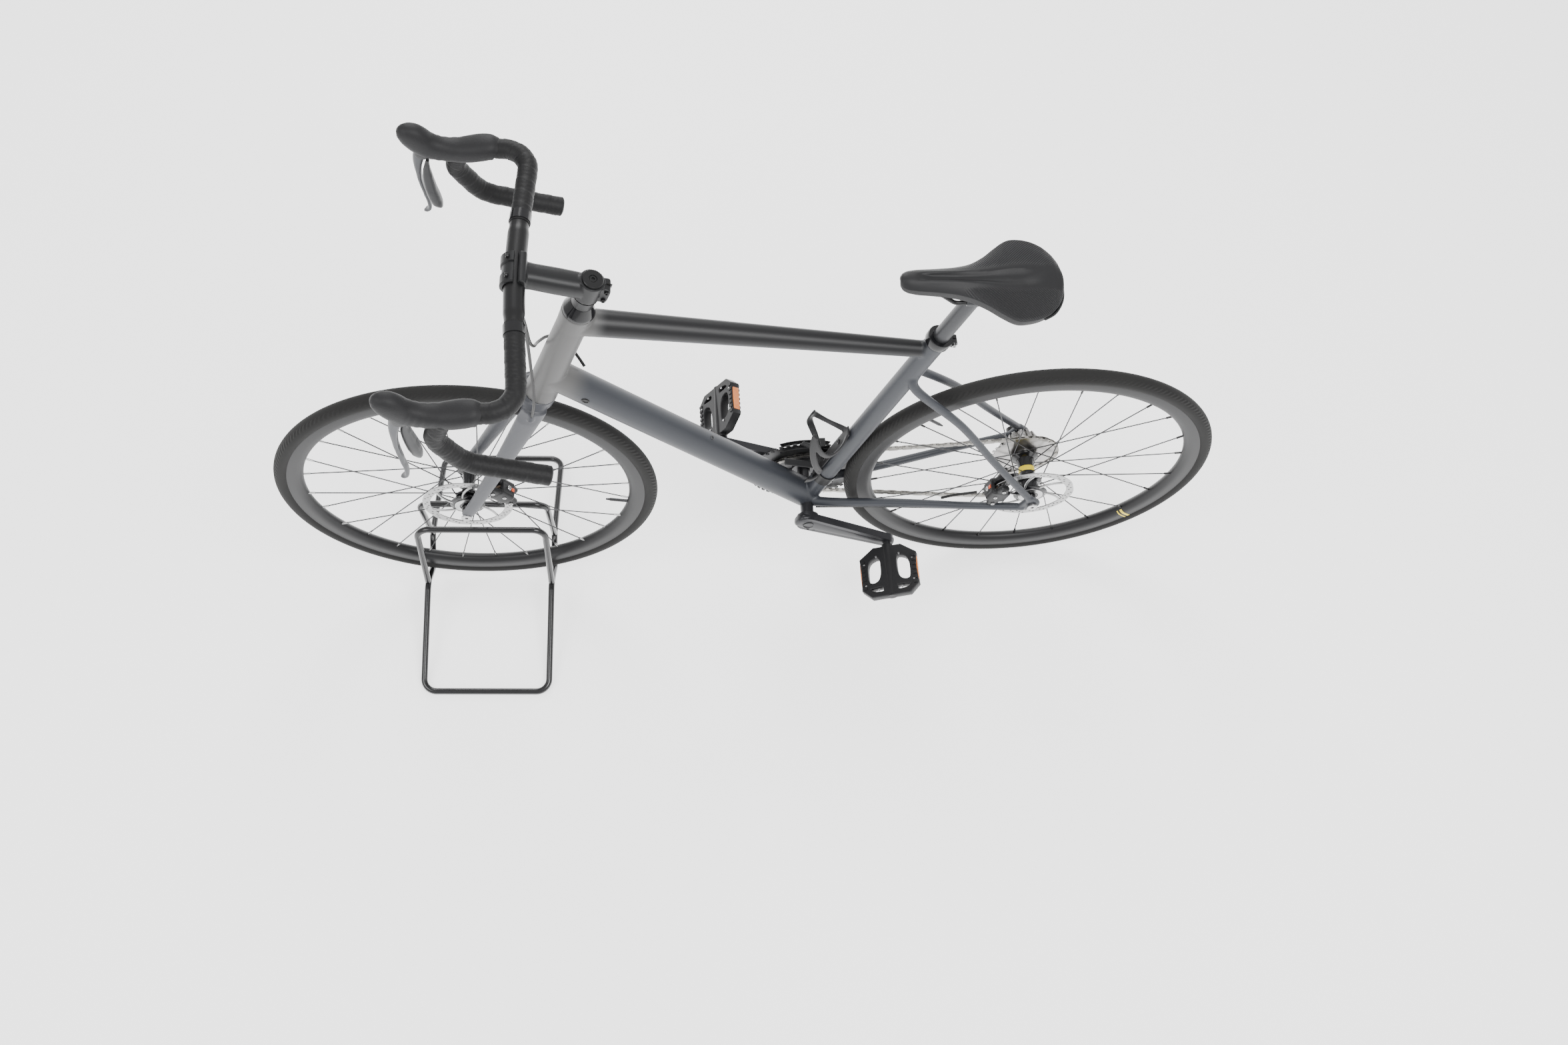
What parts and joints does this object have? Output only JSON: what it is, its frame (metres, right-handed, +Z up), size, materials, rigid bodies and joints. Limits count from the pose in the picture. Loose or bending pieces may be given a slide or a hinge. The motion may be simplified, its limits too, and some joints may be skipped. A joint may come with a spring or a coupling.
{
  "type": "bicycle on stand",
  "caption": "Drop-bar road bicycle with hydraulic disc brakes and derailleur gears, its front wheel held upright in a folded tube floor stand.",
  "frame": {"origin": "centre of the bounding box in plan, on the floor the stand and the rear tyre rest on", "axes": "+X forward along the bicycle, +Y to the rider's left, +Z up"},
  "size_m": [1.6972, 0.5493, 1.0704],
  "materials": {
    "stand_paint": "gloss",
    "frame_grey": "matt",
    "frame_light": "matt",
    "frame_black": "matt",
    "black_alloy": "satin",
    "rim_black": "satin",
    "hub_black": "gloss",
    "crank_grey": "satin",
    "bolt_steel": "satin",
    "spoke_black": "satin",
    "steel": "brushed",
    "pad_compound": "matt",
    "black_plastic": "matt",
    "lever_grey": "satin",
    "hood_rubber": "matt",
    "bar_tape": "matt",
    "saddle_cover": "matt",
    "tyre": "matt"
  },
  "bodies": {
    "stand": {"stand_base": "stand_paint", "stand_hoops": "stand_paint"},
    "fork": {"fork": "frame_light", "headset_spacers": "black_alloy", "stem": "black_alloy", "stem_faceplate": "black_alloy", "stem_bolts": "bolt_steel", "handlebar": "black_alloy", "bar_tape": "bar_tape", "lever_hoods": "hood_rubber", "front_caliper": "black_alloy", "front_brake_hose": "hood_rubber", "front_axle": "black_alloy"},
    "frame": {"head_tube": "frame_light", "top_tube": "frame_black", "down_tube": "frame_grey", "seat_tube": "frame_grey", "bottom_bracket_shell": "frame_grey", "chainstays": "frame_grey", "seatstays": "frame_grey", "seat_clamp": "black_alloy", "bottle_cage": "black_plastic", "front_derailleur_clamp": "black_alloy", "rear_caliper": "black_alloy", "rear_brake_hose": "hood_rubber", "rear_axle": "black_alloy", "chain": "steel", "derailleur_upper_knuckle": "black_alloy"},
    "saddle": {"seatpost": "black_alloy", "saddle_rails": "black_alloy", "saddle_cover": "saddle_cover"},
    "front_wheel": {"front_tyre": "tyre", "front_rim": "rim_black", "front_spokes": "spoke_black", "front_hub": "hub_black", "front_rotor": "steel"},
    "rear_wheel": {"rear_tyre": "tyre", "rear_rim": "rim_black", "rear_spokes": "spoke_black", "rear_hub": "hub_black", "rear_rotor": "steel"},
    "cassette_body": {"cassette": "steel"},
    "cranks": {"crank_left": "crank_grey", "crank_right": "crank_grey", "chainrings": "crank_grey"},
    "pedal_l": {"pedal_left": "black_plastic"},
    "pedal_r": {"pedal_right": "black_plastic"},
    "lever_l": {"brake_lever_left": "lever_grey"},
    "lever_r": {"brake_lever_right": "lever_grey"},
    "paddle_l": {"shift_paddle_left": "lever_grey"},
    "paddle_r": {"shift_paddle_right": "lever_grey"},
    "front_pad_o": {"front_pad_outer": "pad_compound"},
    "front_pad_i": {"front_pad_inner": "pad_compound"},
    "rear_pad_o": {"rear_pad_outer": "pad_compound"},
    "rear_pad_i": {"rear_pad_inner": "pad_compound"},
    "front_mech": {"front_derailleur_cage": "black_alloy"},
    "rear_mech": {"derailleur_lower_knuckle": "black_alloy"},
    "tension_cage": {"derailleur_cage": "black_alloy"},
    "guide_wheel": {"guide_pulley": "black_plastic"},
    "tension_wheel": {"tension_pulley": "black_plastic"}
  },
  "joints": [
    {"name": "lift_off", "type": "slide", "parent": "stand", "child": "fork", "axis": [0, 0, 1], "range_m": [0, 0.26]},
    {"name": "steering", "type": "hinge", "parent": "fork", "child": "frame", "pos_m": [0.35137, 0.00933, 0.69293], "axis": [-0.3153, 0.0292, 0.9485], "range_deg": [-50, 50], "deforming": ["rear_brake_hose"]},
    {"name": "front_wheel_spin", "type": "hinge", "parent": "fork", "child": "front_wheel", "pos_m": [0.51006, -0.00327, 0.35811], "axis": [0.0483, 0.9987, -0.0147], "continuous": true},
    {"name": "rear_wheel_spin", "type": "hinge", "parent": "frame", "child": "rear_wheel", "pos_m": [-0.50967, -0.00157, 0.33884], "axis": [0, 0.9995, -0.0308], "continuous": true},
    {"name": "crank_spin", "type": "hinge", "parent": "frame", "child": "cranks", "pos_m": [-0.10292, -0.00349, 0.27653], "axis": [0, 0.9995, -0.0308], "continuous": true, "deforming": ["chain"]},
    {"name": "cassette_spin", "type": "hinge", "parent": "frame", "child": "cassette_body", "pos_m": [-0.50967, -0.00157, 0.33884], "axis": [0, 0.9995, -0.0308], "continuous": true},
    {"name": "left_pedal_spin", "type": "hinge", "parent": "cranks", "child": "pedal_l", "pos_m": [-0.25568, -0.00595, 0.19643], "axis": [0, 0.9995, -0.0308], "continuous": true},
    {"name": "right_pedal_spin", "type": "hinge", "parent": "cranks", "child": "pedal_r", "pos_m": [0.04983, -0.00102, 0.35663], "axis": [0, 0.9995, -0.0308], "continuous": true},
    {"name": "seatpost_height", "type": "slide", "parent": "frame", "child": "saddle", "axis": [-0.3269, 0.0291, 0.9446], "range_m": [-0.06, 0.06]},
    {"name": "front_shift", "type": "slide", "parent": "frame", "child": "front_mech", "axis": [0, -0.9995, 0.0308], "range_m": [0, 0.005]},
    {"name": "rear_shift", "type": "slide", "parent": "frame", "child": "rear_mech", "axis": [0, -0.9995, 0.0308], "range_m": [0, 0.0374]},
    {"name": "chain_tension", "type": "hinge", "parent": "rear_mech", "child": "tension_cage", "pos_m": [-0.49294, -0.00439, 0.24718], "axis": [0, 0.9995, -0.0308], "range_deg": [-25, 20], "stiffness_Nm_per_rad": 1},
    {"name": "guide_pulley_spin", "type": "hinge", "parent": "tension_cage", "child": "guide_wheel", "pos_m": [-0.4999, -0.00446, 0.24505], "axis": [0, 0.9995, -0.0308], "continuous": true},
    {"name": "tension_pulley_spin", "type": "hinge", "parent": "tension_cage", "child": "tension_wheel", "pos_m": [-0.47692, -0.00604, 0.1935], "axis": [0, 0.9995, -0.0308], "continuous": true},
    {"name": "left_brake", "type": "hinge", "parent": "fork", "child": "lever_l", "pos_m": [0.52846, 0.2416, 1.00189], "axis": [0.0483, 0.9987, -0.0147], "range_deg": [0, 14], "stiffness_Nm_per_rad": 5},
    {"name": "left_shifter", "type": "hinge", "parent": "lever_l", "child": "paddle_l", "pos_m": [0.51679, 0.23596, 0.9887], "axis": [-0.9477, 0.0412, -0.3163], "range_deg": [0, 12], "stiffness_Nm_per_rad": 1},
    {"name": "right_brake", "type": "hinge", "parent": "fork", "child": "lever_r", "pos_m": [0.50564, -0.2298, 1.00882], "axis": [0.0483, 0.9987, -0.0147], "range_deg": [0, 14], "stiffness_Nm_per_rad": 5},
    {"name": "right_shifter", "type": "hinge", "parent": "lever_r", "child": "paddle_r", "pos_m": [0.49455, -0.22345, 0.99545], "axis": [0.9477, -0.0412, 0.3163], "range_deg": [0, 12], "stiffness_Nm_per_rad": 1},
    {"name": "front_pad_o", "type": "slide", "parent": "fork", "child": "front_pad_o", "axis": [-0.0483, -0.9987, 0.0147], "range_m": [0, 0.0002]},
    {"name": "front_pad_i", "type": "slide", "parent": "fork", "child": "front_pad_i", "axis": [0.0483, 0.9987, -0.0147], "range_m": [0, 0.0002]},
    {"name": "rear_pad_o", "type": "slide", "parent": "frame", "child": "rear_pad_o", "axis": [0, -0.9995, 0.0308], "range_m": [0, 0.0002]},
    {"name": "rear_pad_i", "type": "slide", "parent": "frame", "child": "rear_pad_i", "axis": [0, 0.9995, -0.0308], "range_m": [0, 0.0002]}
  ],
  "couplings": [
    {"joint": "cassette_spin", "follows": "crank_spin", "ratio": 1.1333},
    {"joint": "guide_pulley_spin", "follows": "crank_spin", "ratio": -3.0909},
    {"joint": "tension_pulley_spin", "follows": "crank_spin", "ratio": 3.0909},
    {"joint": "front_pad_o", "follows": "left_brake", "m_per_rad": 0.0008},
    {"joint": "front_pad_i", "follows": "left_brake", "m_per_rad": 0.0008},
    {"joint": "rear_pad_o", "follows": "right_brake", "m_per_rad": 0.0008},
    {"joint": "rear_pad_i", "follows": "right_brake", "m_per_rad": 0.0008}
  ]
}
